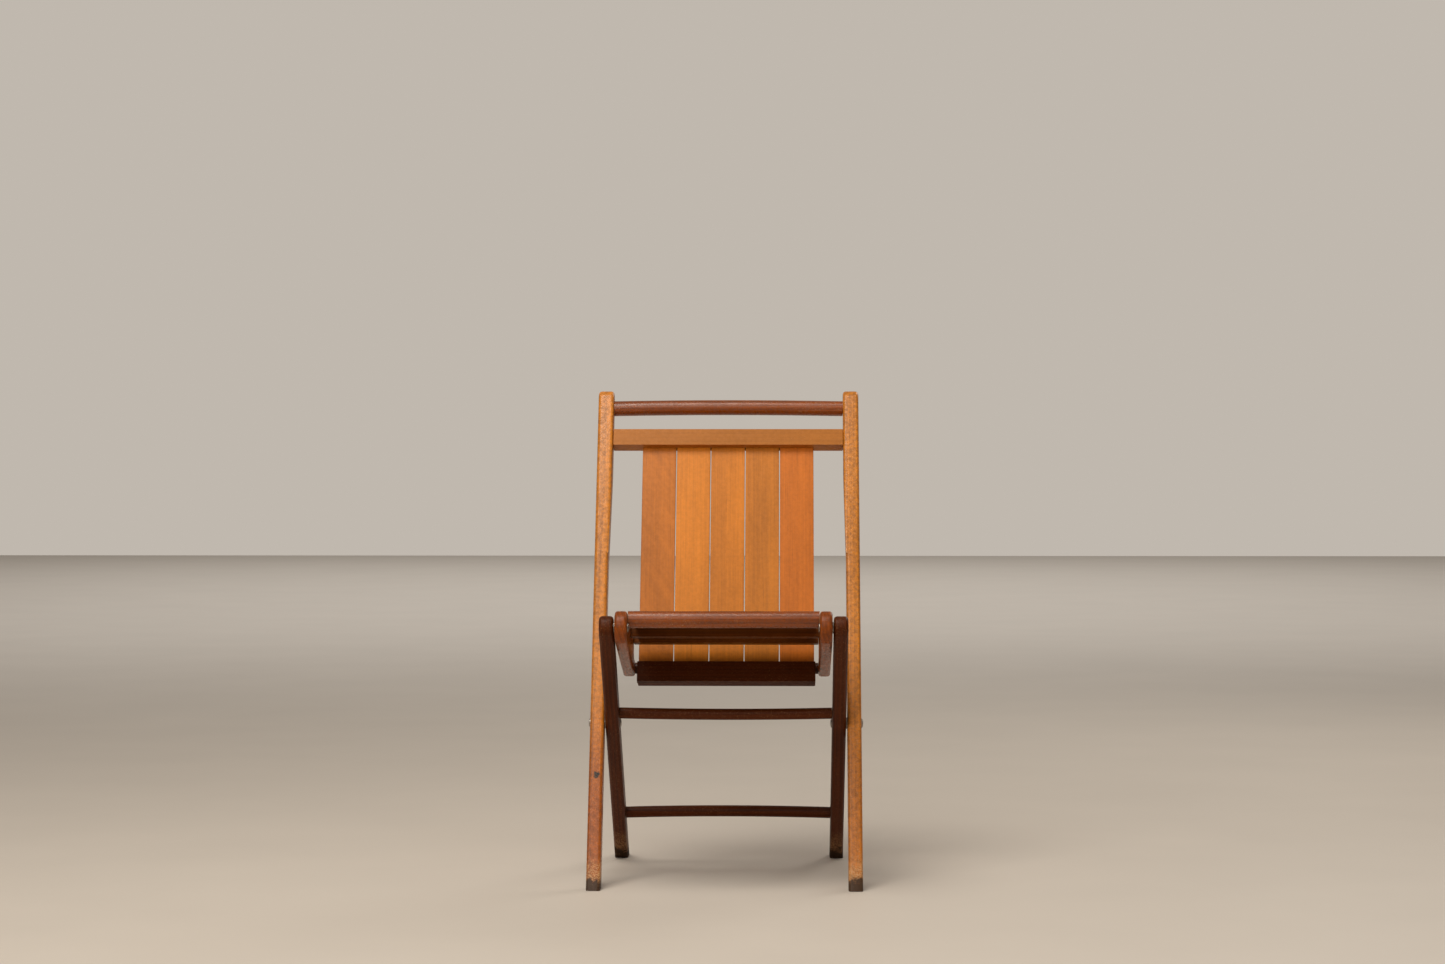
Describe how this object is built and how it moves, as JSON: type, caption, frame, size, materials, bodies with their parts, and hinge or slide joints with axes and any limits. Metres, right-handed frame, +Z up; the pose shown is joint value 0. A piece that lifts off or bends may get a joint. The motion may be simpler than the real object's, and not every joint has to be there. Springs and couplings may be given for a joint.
{
  "type": "folding chair",
  "caption": "Low wooden folding chair with a slatted back and seat, crossed legs, round rails and a seat that folds flat against the back.",
  "frame": {"origin": "on the floor, under the centre of the bounding box of the open chair", "axes": "+Z up, -Y the front, where the sitter faces, +X to the right seen from the front"},
  "size_m": [0.4338, 0.5302, 0.7755],
  "materials": {
    "tan_wood": "worn orange-tan varnish, grubby at the feet",
    "rail_wood": "glossy brown varnish",
    "golden_wood": "golden-orange varnish over upright grain",
    "brown_wood": "brown varnish",
    "dark_wood": "dark red-brown varnish",
    "dull_steel": "dull, slightly tarnished"
  },
  "bodies": {
    "back_frame": {"long_leg_left": "tan_wood", "long_leg_right": "tan_wood", "leg_pivot_rivet_left": "dull_steel", "leg_pivot_rivet_right": "dull_steel", "leg_pivot_washer_left": "dull_steel", "leg_pivot_washer_right": "dull_steel", "crest_rail": "rail_wood", "back_top_rail": "rail_wood", "back_slat_1": "golden_wood", "back_slat_2": "golden_wood", "back_slat_3": "golden_wood", "back_slat_4": "golden_wood", "back_slat_5": "golden_wood", "back_bottom_rail": "dark_wood", "seat_stop_rail": "dark_wood"},
    "leg_frame": {"short_leg_left": "dark_wood", "short_leg_right": "dark_wood", "seat_pivot_rivet_left": "dull_steel", "seat_pivot_rivet_right": "dull_steel", "seat_pivot_washer_left": "dull_steel", "seat_pivot_washer_right": "dull_steel", "upper_stretcher": "dark_wood", "lower_stretcher": "dark_wood"},
    "seat_frame": {"seat_side_rail_left": "rail_wood", "seat_side_rail_right": "rail_wood", "seat_front_rail": "rail_wood", "seat_slat_1": "brown_wood", "seat_slat_2": "brown_wood", "seat_slat_3": "brown_wood", "seat_slat_4": "brown_wood", "seat_slat_5": "brown_wood", "seat_middle_batten": "brown_wood", "seat_rear_batten": "brown_wood", "seat_rear_dowel": "dark_wood"}
  },
  "joints": [
    {"name": "leg_fold", "type": "hinge", "parent": "back_frame", "child": "leg_frame", "pos_m": [0, -0.05111, 0.248], "axis": [-1, 0, 0], "range_deg": [0, 70]},
    {"name": "seat_fold", "type": "hinge", "parent": "leg_frame", "child": "seat_frame", "pos_m": [0, -0.24011, 0.41], "axis": [1, 0, 0], "range_deg": [0, 142]}
  ],
  "couplings": [
    {"joint": "seat_fold", "follows": "leg_fold", "ratio": 2.023}
  ]
}
